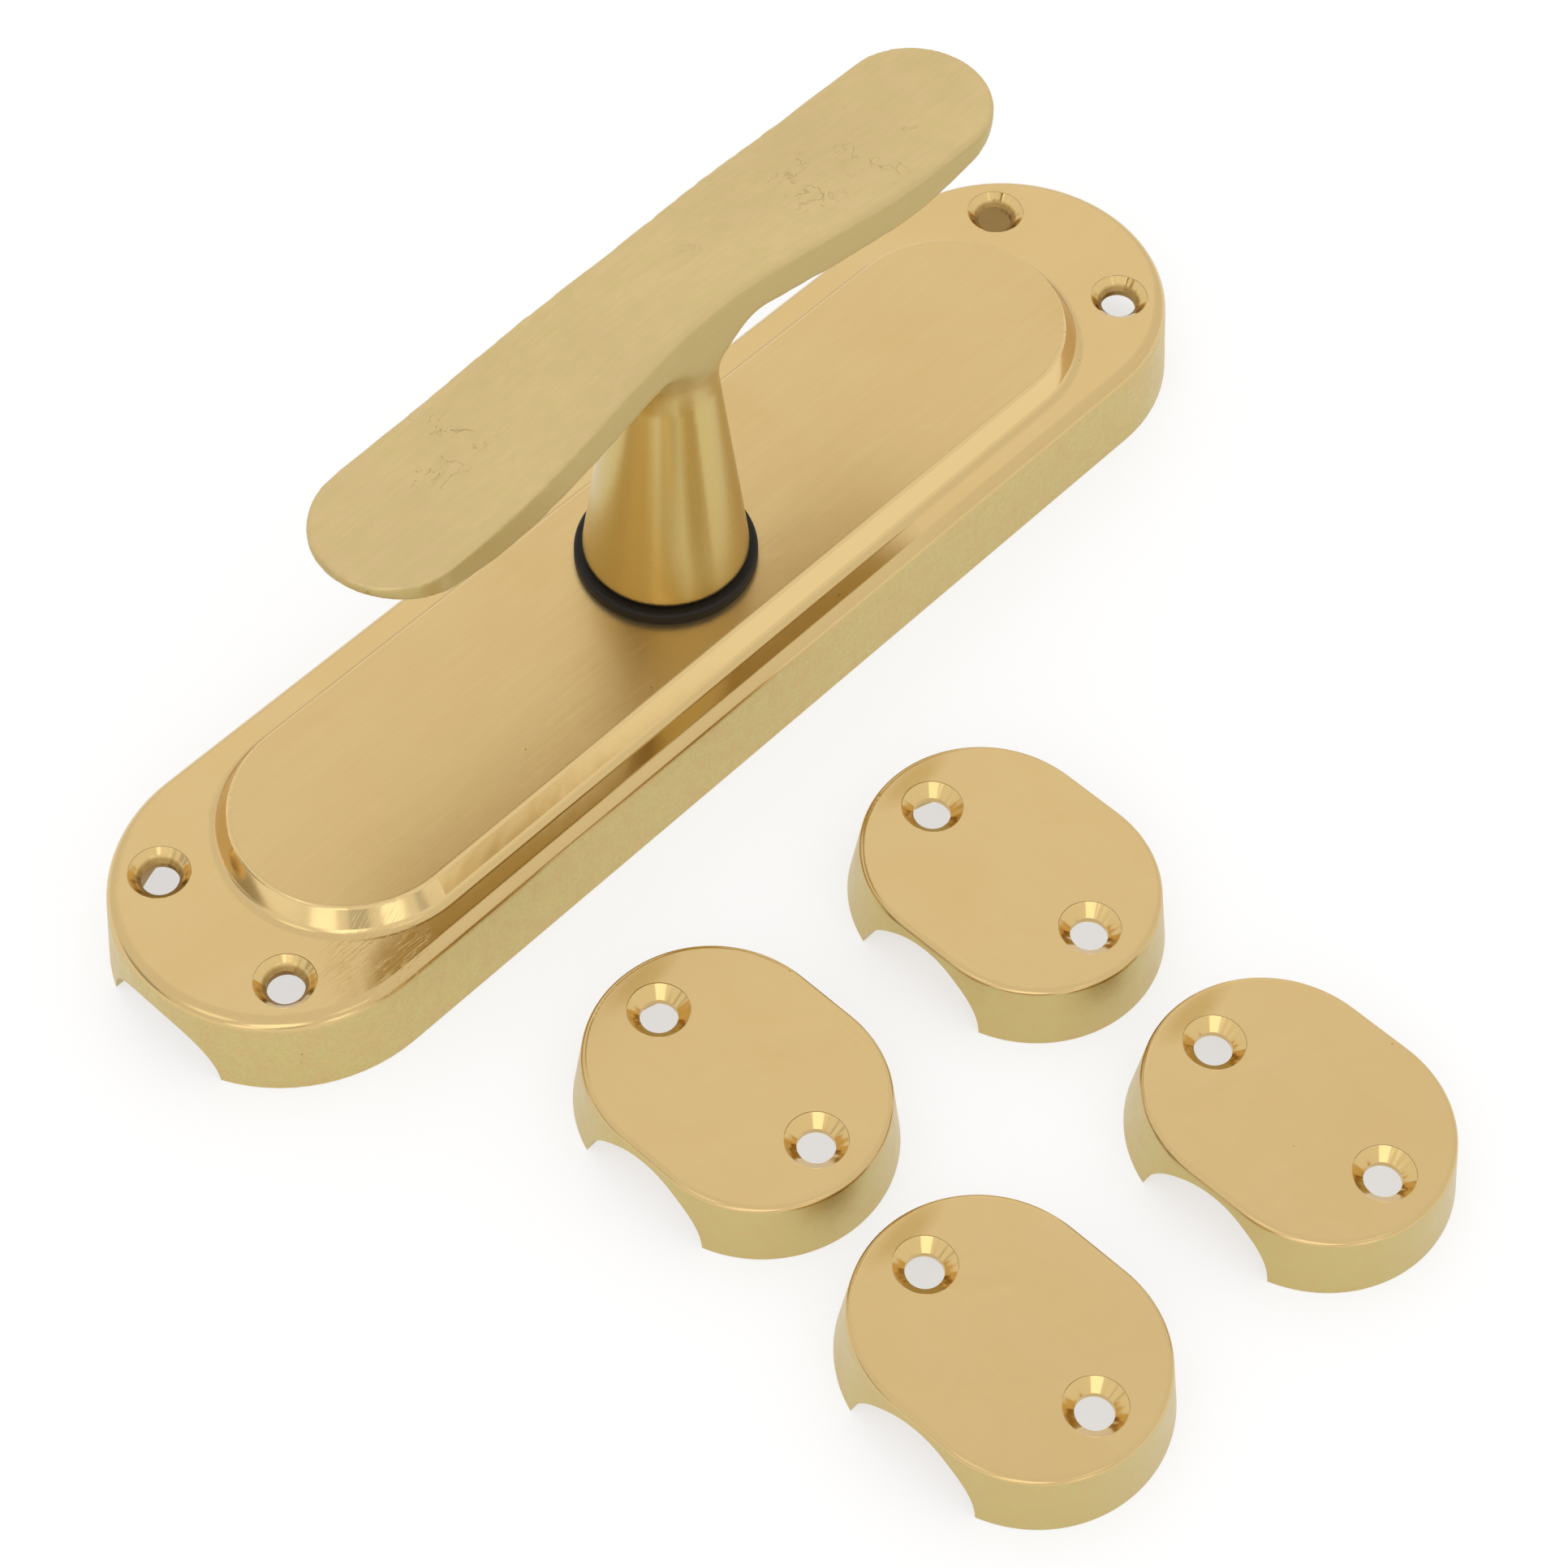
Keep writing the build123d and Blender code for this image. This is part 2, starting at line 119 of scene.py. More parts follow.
def vector_maths(tree, operation, a, b=(0.0, 0.0, 0.0)):
    return node(tree, "ShaderNodeVectorMath", {0: a, 1: b}, operation=operation).outputs[0]


def length_of(tree, vector):
    return node(tree, "ShaderNodeVectorMath", {0: vector}, operation="LENGTH").outputs["Value"]


def ramp_between(tree, value, at_zero, at_one):
    """0 to 1 as value goes from at_zero to at_one, in a smooth step."""
    made = node(
        tree, "ShaderNodeMapRange", {0: value, 1: at_zero, 2: at_one}, interpolation_type="SMOOTHSTEP"
    )
    return made.outputs[0]


def remap(tree, value, low, high):
    """A 0 to 1 value spread over low to high."""
    return node(tree, "ShaderNodeMapRange", {0: value, 3: low, 4: high}).outputs[0]


def noise(tree, vector, scale, detail=3.0, roughness=0.5, distortion=0.0):
    inputs = {"Vector": vector, "Scale": scale, "Detail": detail}
    inputs.update({"Roughness": roughness, "Distortion": distortion})
    return node(tree, "ShaderNodeTexNoise", inputs).outputs[0]


def stretched(tree, vector, factors):
    """The vector with each axis scaled, for streaks and brushing."""
    return node(tree, "ShaderNodeMapping", {0: vector, 3: factors}).outputs[0]


def mix(tree, factor, a, b):
    """Colour a where factor is 0 and b where it is 1."""
    made = node(tree, "ShaderNodeMix", {0: factor}, data_type="RGBA")
    for socket, value in ((made.inputs[6], a), (made.inputs[7], b)):
        if isinstance(value, bpy.types.NodeSocket):
            tree.links.new(value, socket)
        else:
            socket.default_value = (*value, 1.0)
    return made.outputs[2]


def blend_value(tree, factor, a, b):
    made = node(tree, "ShaderNodeMix", {0: factor, 2: a, 3: b}, data_type="FLOAT")
    return made.outputs[0]


def painted(tree, colour, *coats):
    """The colour under coats, each with its zone, how much of it covers there, and its own colour."""
    for zone, share, coat in coats:
        colour = mix(tree, times(tree, zone, share), colour, coat)
    return colour


def by_zone(tree, value, *zones):
    """The value, replaced in each zone in turn by that zone's own."""
    for zone, own in zones:
        value = blend_value(tree, zone, value, own)
    return value


def bumps(tree, *layers):
    """Bumps on top of each other, each with its height, its strength and its depth in millimetres."""
    inputs = {}
    for height, strength, depth in layers:
        inputs.update({"Height": height, "Strength": strength, "Distance": depth * MM})
        inputs["Normal"] = node(tree, "ShaderNodeBump", inputs).outputs[0]
    return inputs["Normal"]


def material(name):
    """A new material, its tree, its shader and the object-space point in millimetres."""
    made = bpy.data.materials.new(name)
    made.use_nodes = True
    tree = made.node_tree
    tree.nodes.clear()
    shader = tree.nodes.new("ShaderNodeBsdfPrincipled")
    output = tree.nodes.new("ShaderNodeOutputMaterial")
    tree.links.new(shader.outputs[0], output.inputs[0])
    coordinates = node(tree, "ShaderNodeTexCoord")
    scaled = node(tree, "ShaderNodeVectorMath", {0: coordinates.outputs["Object"]}, operation="SCALE")
    scaled.inputs["Scale"].default_value = 1 / MM
    return made, tree, shader, scaled.outputs[0]


def facing_up(tree):
    """How far the surface faces up, from -1 to 1, in the object's own space."""
    coordinates = node(tree, "ShaderNodeTexCoord")
    return node(tree, "ShaderNodeSeparateXYZ", {0: coordinates.outputs["Normal"]}).outputs[2]


def feed(tree, shader, **sockets):
    """Links or sets the shader's sockets by name, with _ for a space."""
    for key, value in sockets.items():
        socket = shader.inputs[key.replace("_", " ")]
        if isinstance(value, bpy.types.NodeSocket):
            tree.links.new(value, socket)
        else:
            socket.default_value = value


# --- materials ----------------------------------------------------------------------------------

BRASS = (0.655, 0.465, 0.205)
BRASS_PALE = (0.71, 0.53, 0.26)
BRASS_GREEN = (0.62, 0.51, 0.21)
BRASS_DEEP = (0.52, 0.33, 0.10)
BRASS_RAW = (0.40, 0.28, 0.12)
BRASS_CONE = (0.74, 0.53, 0.225)
BRASS_BEVEL = (0.76, 0.56, 0.26)
BRASS_CAST = (0.67, 0.50, 0.25)
# painted shade for the wing's sides, which face away from the top
BRASS_PAINTED_SIDE_SHADE = (0.52, 0.405, 0.16)
BRASS_WALL_MOTTLE_AND_SHADE = (0.54, 0.43, 0.17)
# darker wall brass: partly real mottling, partly painted shade on the walls
BRASS_NECK = (0.60, 0.455, 0.165)
STAIN = (0.28, 0.18, 0.06)
RING_BLACK = (0.007, 0.005, 0.003)
RING_PALE = (0.012, 0.008, 0.005)
NYLON = (0.72, 0.70, 0.62)
NYLON_PALE = (0.80, 0.78, 0.72)

# The mechanism's metals: name, colour, stains, roughness, grain on each axis, and the nodes that have it
METALS = [
    ("turned_brass", BRASS_PALE, BRASS, 0.25, (0.3, 0.3, 9.0), ["bearing_bush"]),
    ("zinc_steel", (0.60, 0.61, 0.62), (0.48, 0.49, 0.50), 0.36, (1.5, 1.5, 1.5),
     ["gear_back_plate", "back_plate_screws", "strip_rivets", "detent_rivet"]),
    ("gear_steel", (0.42, 0.42, 0.43), (0.30, 0.29, 0.28), 0.38, (2.0, 2.0, 2.0),
     ["drive_pinion", "rack_a", "rack_b"]),
    ("bright_steel", (0.62, 0.62, 0.63), (0.52, 0.52, 0.53), 0.26, (4.0, 4.0, 0.3),
     ["spindle", "rod_peg_a", "rod_peg_b"]),
    ("spring_steel", (0.30, 0.30, 0.33), (0.20, 0.20, 0.24), 0.30, (3.0, 3.0, 3.0),
     ["disc_spring", "detent_spring", "retaining_ring"]),
    ("black_steel", (0.10, 0.10, 0.11), (0.06, 0.06, 0.06), 0.40, (3.0, 3.0, 3.0), ["grub_screw"]),
]

# Where the flange is scratched and where the wing has casting marks: x, y, z and radius, in millimetres
SCRATCHED_PLACE = (-70.0, -18.5, FLANGE_Z, 9.0)
MARKED_PLACES = [
    (26.0, 0.5, 66.0, 8.0), (38.0, -1.0, 66.0, 8.5), (7.5, 3.0, 69.0, 3.5), (-36.0, 3.0, 66.0, 9.0),
]

# Where a dark reflection is painted on each guide's top: x and y from its middle, angle, half-length and
# half-width
GUIDE_PAINTED_REFLECTION = (1.5, 18.2, -0.1, 8.0, 2.6)
GUIDE_NOISE_STEP = 40.0          # moves the noise on from guide to guide, so that no two look alike

# How brushing, linishing and turning stretch noise on each axis
BRUSHED_ALONG_X = (0.08, 2.2, 2.2)
BRUSHED_ALONG_Y = (2.2, 0.08, 2.2)
LINISHED = (0.15, 2.0, 2.0)
TURNED = (0.0, 0.0, 2.2)


def shifted_point(tree, point, x, y, z):
    """The point as seen from (x, y, z)."""
    return vector_maths(tree, "SUBTRACT", point, (x, y, z))


def height_of(tree, point):
    return node(tree, "ShaderNodeSeparateXYZ", {0: point}).outputs[2]


def flat_reach(tree, point, x, y):
    """Distance from the upright line through (x, y), and the vector from it."""
    flat = vector_maths(tree, "MULTIPLY", shifted_point(tree, point, x, y, 0.0), (1.0, 1.0, 0.0))
    return length_of(tree, flat), flat


def countersinks(tree, point, holes, top_z):
    """1 on the cones of the countersunk holes, and a value that changes round each, for its flutes."""
    zones = []
    flutes = []
    for x, y in holes:
        reach, flat = flat_reach(tree, point, x, y)
        inside = ramp_between(tree, reach, SCREW_HEAD_R + 0.12, SCREW_HEAD_R - 0.02)
        zones.append(inside)
        flute = noise(tree, vector_maths(tree, "NORMALIZE", flat), 1.7, 1.0, 0.4)
        flutes.append(times(tree, flute, inside))
    below = ramp_between(tree, height_of(tree, point), top_z + 0.02, top_z - 0.03)
    return times(tree, combined(tree, "MAXIMUM", zones), below), combined(tree, "ADD", flutes)


def slot_distance(tree, point, half_centres):
    """Distance from the middle line of a straight-sided, round-ended outline."""
    along, across, _ = node(tree, "ShaderNodeSeparateXYZ", {0: point}).outputs
    clamped = node(tree, "ShaderNodeClamp", {0: along, 1: -half_centres, 2: half_centres}).outputs[0]
    past = maths(tree, "SUBTRACT", along, clamped)
    return length_of(tree, node(tree, "ShaderNodeCombineXYZ", {0: past, 1: across}).outputs[0])


def specks(tree, point, spacing, size, share):
    """1 in small scattered dots: one possible dot in each cell, and only in a share of the cells."""
    cells = node(tree, "ShaderNodeTexVoronoi", {"Vector": point, "Scale": 1.0 / spacing})
    dot = ramp_between(tree, cells.outputs["Distance"], size / spacing, 0.4 * size / spacing)
    lot = node(tree, "ShaderNodeSeparateXYZ", {0: cells.outputs["Color"]}).outputs[0]
    return times(tree, dot, maths(tree, "LESS_THAN", lot, share))


def turned_and_scaled(tree, point, angle, factors):
    """The point turned by -angle about Z and then scaled on each axis."""
    inputs = {0: point, 2: (0.0, 0.0, -angle), 3: factors}
    return node(tree, "ShaderNodeMapping", inputs).outputs[0]


def thin_line(tree, value, level, outer, inner):
    """1 where the value is within inner of the level, and 0 where it is more than outer from it."""
    off = maths(tree, "ABSOLUTE", maths(tree, "SUBTRACT", value, level))
    return ramp_between(tree, off, outer, inner)


def scratches(tree, point, angle, spread):
    """Thin straight scratches at an angle to +X in the flat, spread mm apart on average."""
    turned = turned_and_scaled(tree, point, angle, (0.05 / spread, 1.0 / spread, 0.02))
    return thin_line(tree, noise(tree, turned, 1.0, 2.0, 0.6, 0.15), 0.5, 0.012, 0.0)


def patch(tree, point, x, y, z, radius):
    """1 in the middle of a round patch and 0 outside it."""
    return ramp_between(tree, length_of(tree, shifted_point(tree, point, x, y, z)), radius, 0.3 * radius)


def painted_reflection_patch(tree, point, x, y, angle, long_half, wide_half):
    """1 in the middle of a long soft patch on a top face, for a painted dark reflection, and 0 outside
    it.
    """
    away = shifted_point(tree, point, x, y, 0.0)
    turned = turned_and_scaled(tree, away, angle, (1.0 / long_half, 1.0 / wide_half, 0.0))
    return ramp_between(tree, length_of(tree, turned), 1.0, 0.2)


def brass_noises(tree, point, cloud_scale, brushed):
    """Soft clouds, blotches, fine peening and brushing, for the cover and the guides."""
    cloud = noise(tree, point, cloud_scale, 3.0, 0.55, 0.5)
    blotch = noise(tree, point, 0.30, 5.0, 0.65, 0.8)
    peen = noise(tree, point, 1.8, 2.0, 0.6)
    brushing = noise(tree, stretched(tree, point, brushed), 1.0, 3.0, 0.6)
    return cloud, blotch, peen, brushing


def top_gold(tree, cloud, brushing):
    """Brass of the tops: paler in clouds, and deeper along the brushing."""
    gold = mix(tree, remap(tree, cloud, 0.0, 0.8), BRASS, BRASS_PALE)
    return mix(tree, times(tree, brushing, 0.15), gold, BRASS_DEEP)


def wall_gold(tree, blotch, mottle_and_shade):
    """Brass of the walls: blotchy, and darker in mottled patches, partly real mottling and partly
    painted shade on the walls.
    """
    gold = mix(tree, ramp_between(tree, blotch, 0.35, 0.65), BRASS_GREEN, BRASS)
    return mix(tree, mottle_and_shade, gold, BRASS_WALL_MOTTLE_AND_SHADE)


def raw_gold(tree, blotch):
    """Brass of the unpolished inside."""
    return mix(tree, blotch, BRASS_RAW, BRASS_DEEP)


def cover_zones(tree, point):
    """The panel's top, its bevel, the walls and the inside: each 1 in its own place and 0 elsewhere."""
    height = height_of(tree, point)
    up = facing_up(tree)
    panel = ramp_between(tree, height, PANEL_Z - 0.3, PANEL_Z - 0.1)
    panel = times(tree, panel, ramp_between(tree, up, 0.90, 0.97))
    bevel = ramp_between(tree, height, FLANGE_Z + 0.2, FLANGE_Z + 0.6)
    bevel = times(tree, bevel, opposite(tree, panel))
    wall = ramp_between(tree, height, FLANGE_Z, FLANGE_Z - 0.5)
    wall = times(tree, wall, ramp_between(tree, up, 0.5, 0.15))
    reach = slot_distance(tree, point, COVER_HALF_CENTRES)
    inside = ramp_between(tree, reach, COVER_WALL_INNER, COVER_WALL_INNER - 0.5)
    inside = times(tree, inside, ramp_between(tree, height, FLANGE_Z - 0.7, FLANGE_Z - 1.2))
    inside = maths(tree, "MAXIMUM", inside, ramp_between(tree, up, -0.2, -0.5))
    return panel, bevel, wall, inside


def cover_brass():
    """Brass cover: panel brushed lengthwise, polished bevel, satin flange, blotchy walls with painted
    shade, raw inside.
    """
    made, tree, shader, point = material("cover_brass")
    panel, bevel, wall, inside = cover_zones(tree, point)
    cone, flutes = countersinks(tree, point, COVER_HOLES, FLANGE_Z)
    cloud, blotch, peen, brushing = brass_noises(tree, point, 0.055, BRUSHED_ALONG_X)
    lines = [scratches(tree, point, 0.35, 0.5), scratches(tree, point, 1.0, 0.6)]
    scratched = times(tree, combined(tree, "MAXIMUM", lines), patch(tree, point, *SCRATCHED_PLACE))
    mottle_and_shade = remap(tree, ramp_between(tree, peen, 0.35, 0.7), 0.2, 0.7)
    colour = painted(
        tree, top_gold(tree, cloud, brushing),
        # blotchy walls, darkened in part by painted shade
        (wall, 1.0, wall_gold(tree, blotch, mottle_and_shade)),
        (bevel, 1.0, BRASS_BEVEL),
        (cone, 1.0, BRASS_CONE),
        (scratched, 0.5, BRASS_DEEP),
        (specks(tree, point, 6.0, 0.22, 0.16), 0.8, STAIN),
        (inside, 1.0, raw_gold(tree, blotch)),
    )
    rough = by_zone(
        tree, remap(tree, cloud, 0.10, 0.18),
        (panel, remap(tree, brushing, 0.26, 0.42)),
        (bevel, 0.13),
        (wall, remap(tree, blotch, 0.28, 0.48)),
        (cone, 0.16),
        (inside, 0.5),
    )
    normal = bumps(
        tree,
        (brushing, blend_value(tree, panel, 0.02, 0.35), 0.03),
        (cloud, 0.2, 0.5),
        (times(tree, blotch, wall), 0.25, 0.08),
        (times(tree, peen, wall), 0.25, 0.05),
        (times(tree, flutes, cone), 0.8, 0.7),
        (times(tree, scratched, -1.0), 0.4, 0.03),
        (times(tree, peen, inside), 0.7, 0.12),
    )
    feed(tree, shader, Base_Color=colour, Metallic=1.0, Roughness=rough, Normal=normal)
    return made


def guide_brass(number, x, y):
    """Brass rod guide: satin top with a painted dark reflection, fine bright rim, blotchy walls with
    painted shade, fluted countersinks, raw inside.
    """
    made, tree, shader, point = material(f"guide_brass_{number}")
    point = shifted_point(tree, point, x, y, 0.0)
    up = facing_up(tree)
    wall = ramp_between(tree, up, 0.5, 0.15)
    inside = ramp_between(tree, up, -0.2, -0.5)
    cone, flutes = countersinks(tree, point, GUIDE_HOLES, GUIDE_TOP)
    own = shifted_point(tree, point, 0.0, 0.0, -GUIDE_NOISE_STEP * number)
    cloud, blotch, peen, brushing = brass_noises(tree, own, 0.075, BRUSHED_ALONG_Y)
    colour = painted(
        tree, top_gold(tree, cloud, brushing),
        # a painted dark reflection on the guide's top, in deeper brass
        (painted_reflection_patch(tree, point, *GUIDE_PAINTED_REFLECTION), 0.65, BRASS_DEEP),
        # blotchy walls, darkened in part by painted shade
        (wall, 1.0, wall_gold(tree, blotch, remap(tree, peen, 0.4, 0.7))),
        (cone, 1.0, BRASS_CONE),
        (specks(tree, own, 5.0, 0.20, 0.10), 0.7, STAIN),
        (inside, 1.0, raw_gold(tree, blotch)),
    )
    rough = by_zone(
        tree, remap(tree, cloud, 0.16, 0.24),
        (wall, remap(tree, blotch, 0.25, 0.42)),
        (cone, 0.16),
        (inside, 0.5),
    )
    normal = bumps(
        tree,
        (brushing, 0.10, 0.03),
        (cloud, 0.3, 0.4),
        (times(tree, blotch, wall), 0.25, 0.06),
        (times(tree, peen, wall), 0.2, 0.04),
        (times(tree, flutes, cone), 0.8, 0.7),
        (times(tree, peen, inside), 0.7, 0.12),
    )
    feed(tree, shader, Base_Color=colour, Metallic=1.0, Roughness=rough, Normal=normal)
    return made


def casting_marks(tree, point):
    """Crack-like casting marks in a few places on the wing, as thin crooked lines."""
    spots = [patch(tree, point, *place) for place in MARKED_PLACES]
    crooked = noise(tree, point, 0.22, 4.0, 0.6, 0.6)
    line = thin_line(tree, crooked, 0.57, 0.012, 0.003)
    broken = ramp_between(tree, noise(tree, point, 0.5, 2.0, 0.5), 0.36, 0.56)
    return times(tree, times(tree, line, broken), combined(tree, "MAXIMUM", spots))


def handle_brass():
    """Satin casting: linished lengthwise on the wing, turned on the neck, with a few casting marks and
    painted shade on the wing's sides.
    """
    made, tree, shader, point = material("handle_brass")
    neck = ramp_between(tree, height_of(tree, point), *NECK_LOOK_Z)
    wing = opposite(tree, neck)
    edge = times(tree, wing, ramp_between(tree, facing_up(tree), 0.75, 0.25))
    cloud = noise(tree, point, 0.05, 4.0, 0.6, 0.5)
    mottle = noise(tree, point, 0.4, 5.0, 0.65, 0.8)
    grain = noise(tree, stretched(tree, point, LINISHED), 1.0, 3.0, 0.65)
    rings = noise(tree, stretched(tree, point, TURNED), 1.0, 1.0, 0.5)
    marks = casting_marks(tree, point)
    colour = painted(
        tree, mix(tree, ramp_between(tree, cloud, 0.3, 0.7), BRASS_CAST, BRASS_PALE),
        (ramp_between(tree, mottle, 0.4, 0.7), 0.35, BRASS_GREEN),
        (ramp_between(tree, grain, 0.35, 0.7), 0.25, BRASS_GREEN),
        # painted shade on the wing's sides
        (edge, 0.8, BRASS_PAINTED_SIDE_SHADE),
        (neck, 0.9, BRASS_NECK),
        (marks, 0.40, STAIN),
        (specks(tree, point, 4.0, 0.30, 0.10), 0.6, STAIN),
    )
    rough = by_zone(tree, remap(tree, grain, 0.32, 0.50), (neck, remap(tree, rings, 0.22, 0.30)))
    normal = bumps(
        tree,
        (times(tree, grain, wing), 0.35, 0.04),
        (times(tree, rings, neck), 0.5, 0.02),
        (times(tree, cloud, wing), 0.4, 0.6),
        (times(tree, marks, -1.0), 0.5, 0.10),
    )
    feed(tree, shader, Base_Color=colour, Metallic=1.0, Roughness=rough, Normal=normal)
    feed(tree, shader, Anisotropic=0.8, Anisotropic_Rotation=0.25)
    return made


def plain_metal(name, colour, darker, roughness, grain_scale):
    """Steel or turned brass with a fine grain and faint stains."""
    made, tree, shader, point = material(name)
    stain = noise(tree, point, 0.25, 4.0, 0.6, 0.8)
    grain = noise(tree, stretched(tree, point, grain_scale), 1.0, 5.0, 0.7)
    rough = remap(tree, grain, roughness - 0.06, roughness + 0.08)
    feed(tree, shader, Base_Color=mix(tree, stain, colour, darker), Metallic=1.0, Roughness=rough)
    feed(tree, shader, Normal=bumps(tree, (grain, 0.2, 0.03)))
    return made


def moulded(name, colour, lighter, roughness):
    """Moulded plastic with a faint grain."""
    made, tree, shader, point = material(name)
    speck = noise(tree, point, 6.0, 3.0, 0.6)
    cloud = noise(tree, point, 0.3, 3.0, 0.5)
    rough = remap(tree, cloud, roughness - 0.07, roughness + 0.07)
    feed(tree, shader, Base_Color=mix(tree, cloud, colour, lighter), Roughness=rough)
    feed(tree, shader, Specular_IOR_Level=0.3, Normal=bumps(tree, (speck, 0.12, 0.03)))
    return made


def dress(names, look):
    """Gives CAD nodes a material in place of the plain one."""
    for name in names:
        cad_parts[name].data.materials[0] = look


def dress_outside():
    """Brass on the cover and the guides, and black plastic on the ring."""
    dress(["cover_plate"], cover_brass())
    for number in range(1, GUIDE_COUNT + 1):
        name = f"rod_guide_{number}"
        low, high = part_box(name)
        centre = (low + high) / 2 / MM
        dress([name], guide_brass(number, centre.x, centre.y))
    dress(["collar_ring"], moulded("black_plastic", RING_BLACK, RING_PALE, 0.55))


def dress_mechanism():
    """Metal and nylon on the parts inside the cover."""
    for name, colour, stains, roughness, grain, node_names in METALS:
        dress(node_names, plain_metal(name, colour, stains, roughness, grain))
    dress(["slide_strip_a", "slide_strip_b"], moulded("nylon", NYLON, NYLON_PALE, 0.45))


# --- shapes -------------------------------------------------------------------------------------

def eased_casting(name, node_name, voxel_mm):
    """The CAD casting as one even skin, so that its edges and its throat can be eased."""
    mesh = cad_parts[node_name].data.copy()
    piece = bpy.data.objects.new(name, mesh)
    bpy.context.scene.collection.objects.link(piece)
    weld = piece.modifiers.new("weld", "WELD")
    weld.merge_threshold = 1e-6
    skin = piece.modifiers.new("skin", "REMESH")
    skin.mode = "VOXEL"
    skin.voxel_size = voxel_mm * MM
    bake(piece)
    return piece


def bake(piece):
    """Applies the piece's modifiers to its mesh."""
    bpy.context.view_layer.update()
    graph = bpy.context.evaluated_depsgraph_get()
    mesh = bpy.data.meshes.new_from_object(piece.evaluated_get(graph))
    piece.modifiers.clear()
    piece.data = mesh


def smooth_step(value, at_zero, at_one):
    t = min(1.0, max(0.0, (value - at_zero) / (at_one - at_zero)))
    return t * t * (3 - 2 * t)


def easing_at(x, y, z):
    """How much each easing acts at a point of the handle."""
    foot = smooth_step(z, *ABOVE_FOOT_Z)
    socket = smooth_step(max(abs(x), abs(y)), *AROUND_SOCKET)
    hole = smooth_step(math.hypot(x, z - GRUB_Z), *AROUND_GRUB_HOLE) if y > 0 else 1.0
    from_throat = math.hypot(x / THROAT_HALF_X, (z - THROAT_Z) / THROAT_HALF_Z)
    return {
        "soft": max(foot * socket * hole, HELD_EASE),
        "fair": smooth_step(abs(x), *BLADE_MIDDLE_X) * smooth_step(z, *BLADE_Z),
        "throat": smooth_step(from_throat, 1.0, 0.35),
    }


def make_handle():
    """Wing handle with soft edges and the neck flowing into the wing."""
    piece = eased_casting("wing_handle", "lever_handle", HANDLE_VOXEL)
    groups = {name: piece.vertex_groups.new(name=name) for name in EASING_ROUNDS}
    for vertex in piece.data.vertices:
        for name, share in easing_at(*(vertex.co / MM)).items():
            groups[name].add([vertex.index], share, "REPLACE")
    for name, rounds in EASING_ROUNDS.items():
        ease = piece.modifiers.new(name, "SMOOTH")
        ease.factor = 0.5
        ease.iterations = rounds
        ease.vertex_group = name
    bake(piece)
    for face in piece.data.polygons:
        face.use_smooth = True
    piece.data.materials.clear()
    piece.data.materials.append(handle_brass())
    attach(piece, "handle")
    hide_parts("lever_handle")


# --- stage --------------------------------------------------------------------------------------

FLOOR_GREY = (0.38, 0.38, 0.38, 1.0)
FLOOR_GLOW = 0.64
WHITE = (1.0, 1.0, 1.0, 1.0)


def make_floor():
    """Plain pale floor under the parts."""
    half, low = FLOOR_HALF * MM, -FLOOR_DROP * MM
    corners = [(-half, -half, low), (half, -half, low), (half, half, low), (-half, half, low)]
    mesh = bpy.data.meshes.new("floor")
    mesh.from_pydata(corners, [], [(0, 1, 2, 3)])
    floor = bpy.data.objects.new("floor", mesh)
    bpy.context.scene.collection.objects.link(floor)
    made, tree, shader, _ = material("floor")
    feed(tree, shader, Base_Color=FLOOR_GREY, Roughness=0.8)
    feed(tree, shader, Emission_Color=WHITE, Emission_Strength=FLOOR_GLOW)
    mesh.materials.append(made)


# The studio all round: each soft light, or dark flag where the gain is below 0, by its azimuth and
# elevation, its full and faded half-widths, all in degrees, and its gain
STUDIO = [
    (-66.0, 5.0, 5.0, 12.0, 0.65),
    (-17.0, 5.0, 5.0, 11.0, 0.65),
    (-41.0, 4.0, 4.0, 9.0, -0.35),
    (4.0, 2.0, 1.5, 5.0, -0.40),
    (-125.0, 2.0, 8.0, 22.0, -0.45),
    (140.0, 36.0, 6.0, 36.0, 0.14),
    (-50.0, 25.0, 10.0, 18.0, 0.75),
    (-90.0, 40.0, 6.0, 14.0, 0.45),
    (-6.0, 46.0, 4.0, 11.0, 0.35),
]
HORIZON_LIGHT = 0.92
ZENITH_LIGHT = 0.95


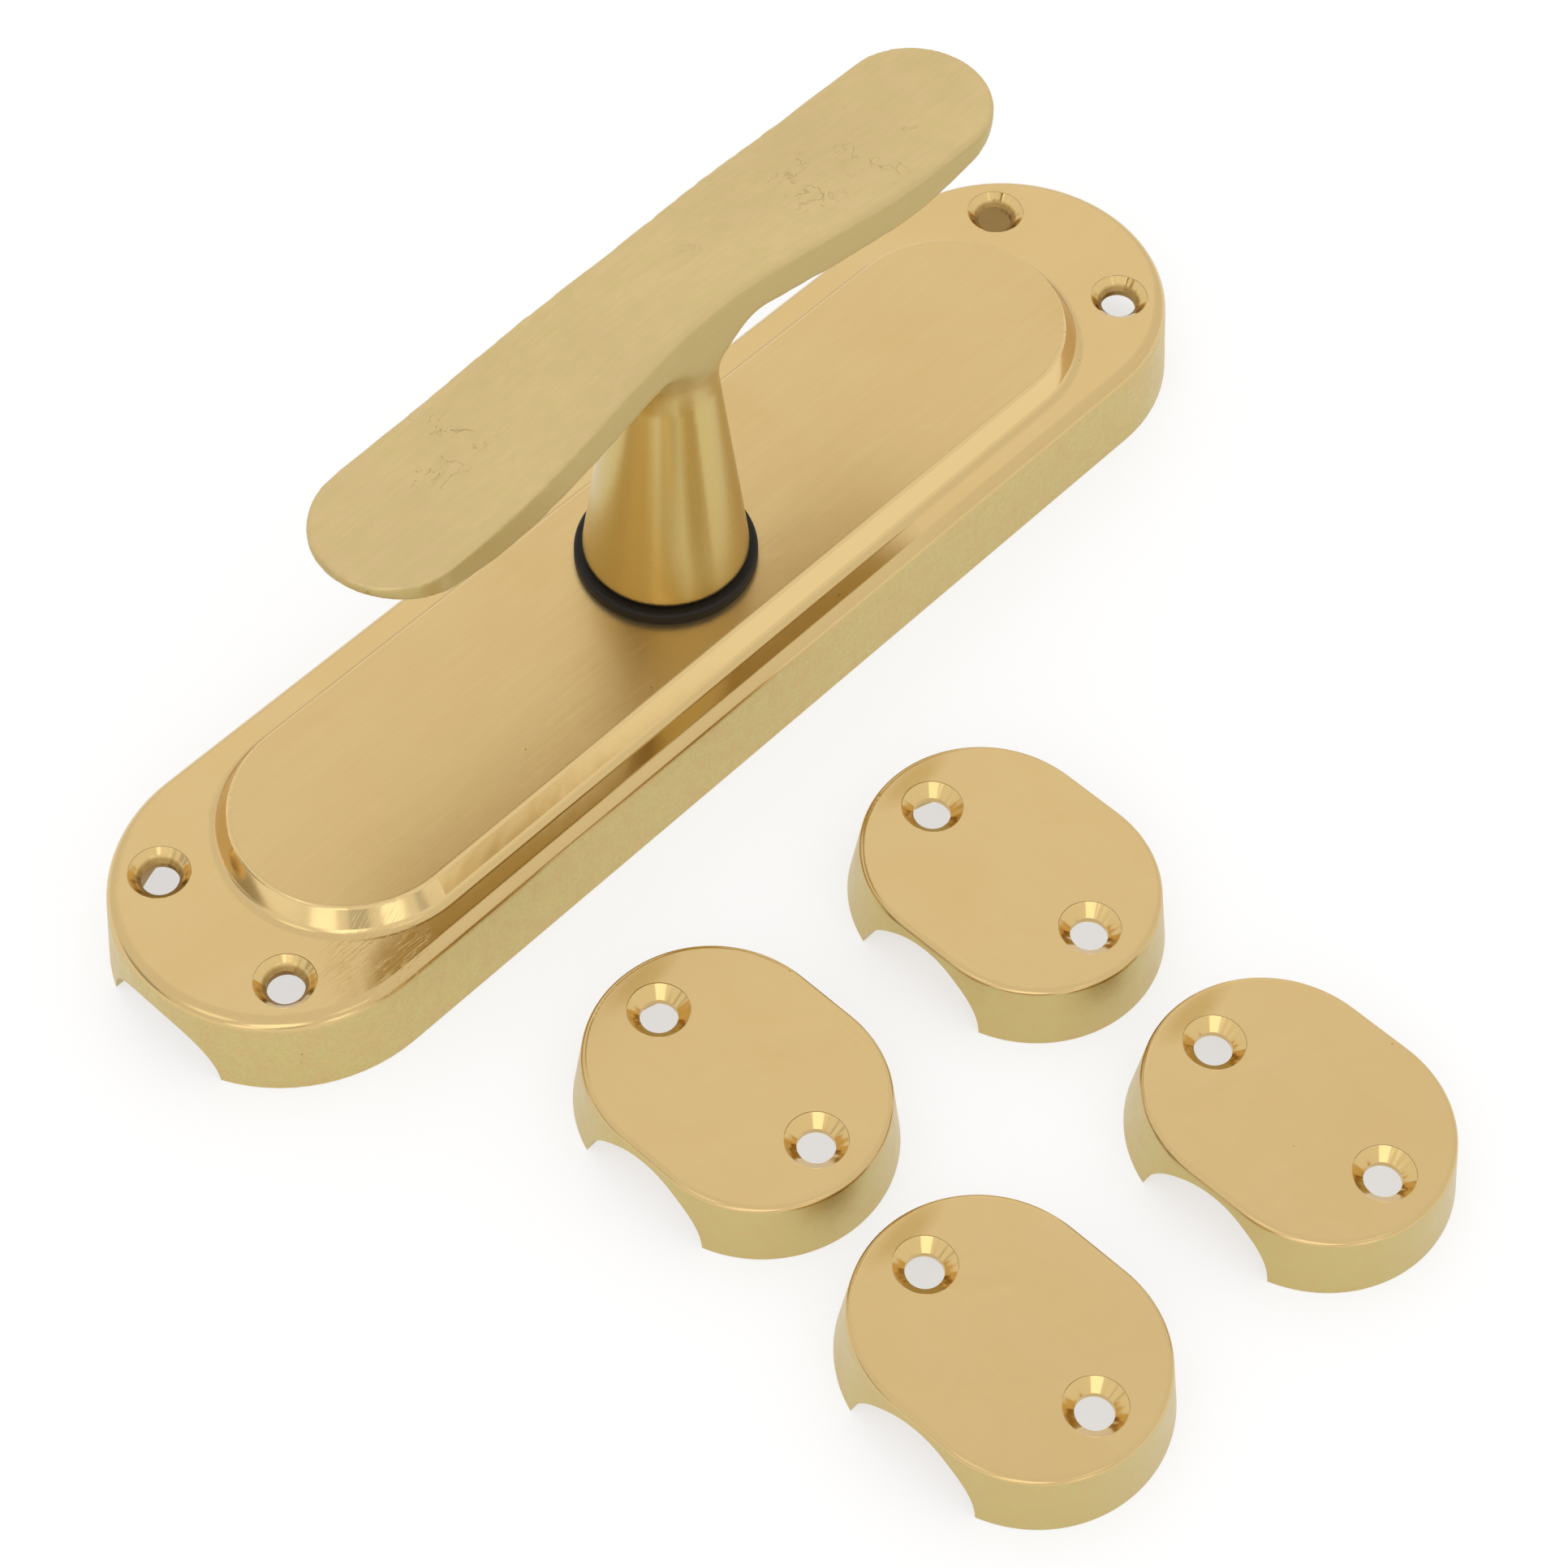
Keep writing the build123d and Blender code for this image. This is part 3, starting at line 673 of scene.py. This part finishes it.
def direction_to(azimuth, elevation):
    a, e = math.radians(azimuth), math.radians(elevation)
    return Vector((math.sin(a) * math.cos(e), -math.cos(a) * math.cos(e), math.sin(e)))


def make_world():
    """Pale studio all round, with soft lights and flags."""
    world = bpy.data.worlds.new("studio")
    world.use_nodes = True
    tree = world.node_tree
    tree.nodes.clear()
    direction = node(tree, "ShaderNodeTexCoord").outputs["Generated"]
    height = node(tree, "ShaderNodeSeparateXYZ", {0: direction}).outputs[2]
    light = blend_value(tree, ramp_between(tree, height, -0.1, 0.8), HORIZON_LIGHT, ZENITH_LIGHT)
    for azimuth, elevation, full, faded, gain in STUDIO:
        aim = direction_to(azimuth, elevation)
        dot = node(tree, "ShaderNodeVectorMath", {0: direction, 1: aim}, operation="DOT_PRODUCT")
        edge, core = math.cos(math.radians(faded)), math.cos(math.radians(full))
        lobe = ramp_between(tree, dot.outputs["Value"], edge, core)
        light = maths(tree, "ADD", light, times(tree, lobe, gain))
    background = node(tree, "ShaderNodeBackground", {"Color": WHITE, "Strength": light})
    output = node(tree, "ShaderNodeOutputWorld")
    tree.links.new(background.outputs[0], output.inputs[0])
    bpy.context.scene.world = world


def make_camera():
    """The camera at the photograph's viewing angle."""
    azimuth, roll = math.radians(VIEW_AZIMUTH), math.radians(VIEW_ROLL)
    back = direction_to(VIEW_AZIMUTH, VIEW_ELEVATION)
    right = Vector((math.cos(azimuth), math.sin(azimuth), 0.0))
    up = back.cross(right)
    tilted_right = right * math.cos(roll) + up * math.sin(roll)
    tilted_up = up * math.cos(roll) - right * math.sin(roll)
    data = bpy.data.cameras.new("camera")
    data.sensor_width = 36.0
    data.lens = VIEW_LENS
    data.clip_start = 0.01
    data.clip_end = 20.0
    camera = bpy.data.objects.new("camera", data)
    turn = Matrix((tilted_right, tilted_up, back)).transposed()
    camera.matrix_world = Matrix.Translation(VIEW_TARGET + back * VIEW_DISTANCE) @ turn.to_4x4()
    bpy.context.scene.collection.objects.link(camera)
    bpy.context.scene.camera = camera


make_camera()
make_world()
make_floor()
bpy.context.scene.view_settings.view_transform = "Standard"

make_handle()
dress_outside()
dress_mechanism()
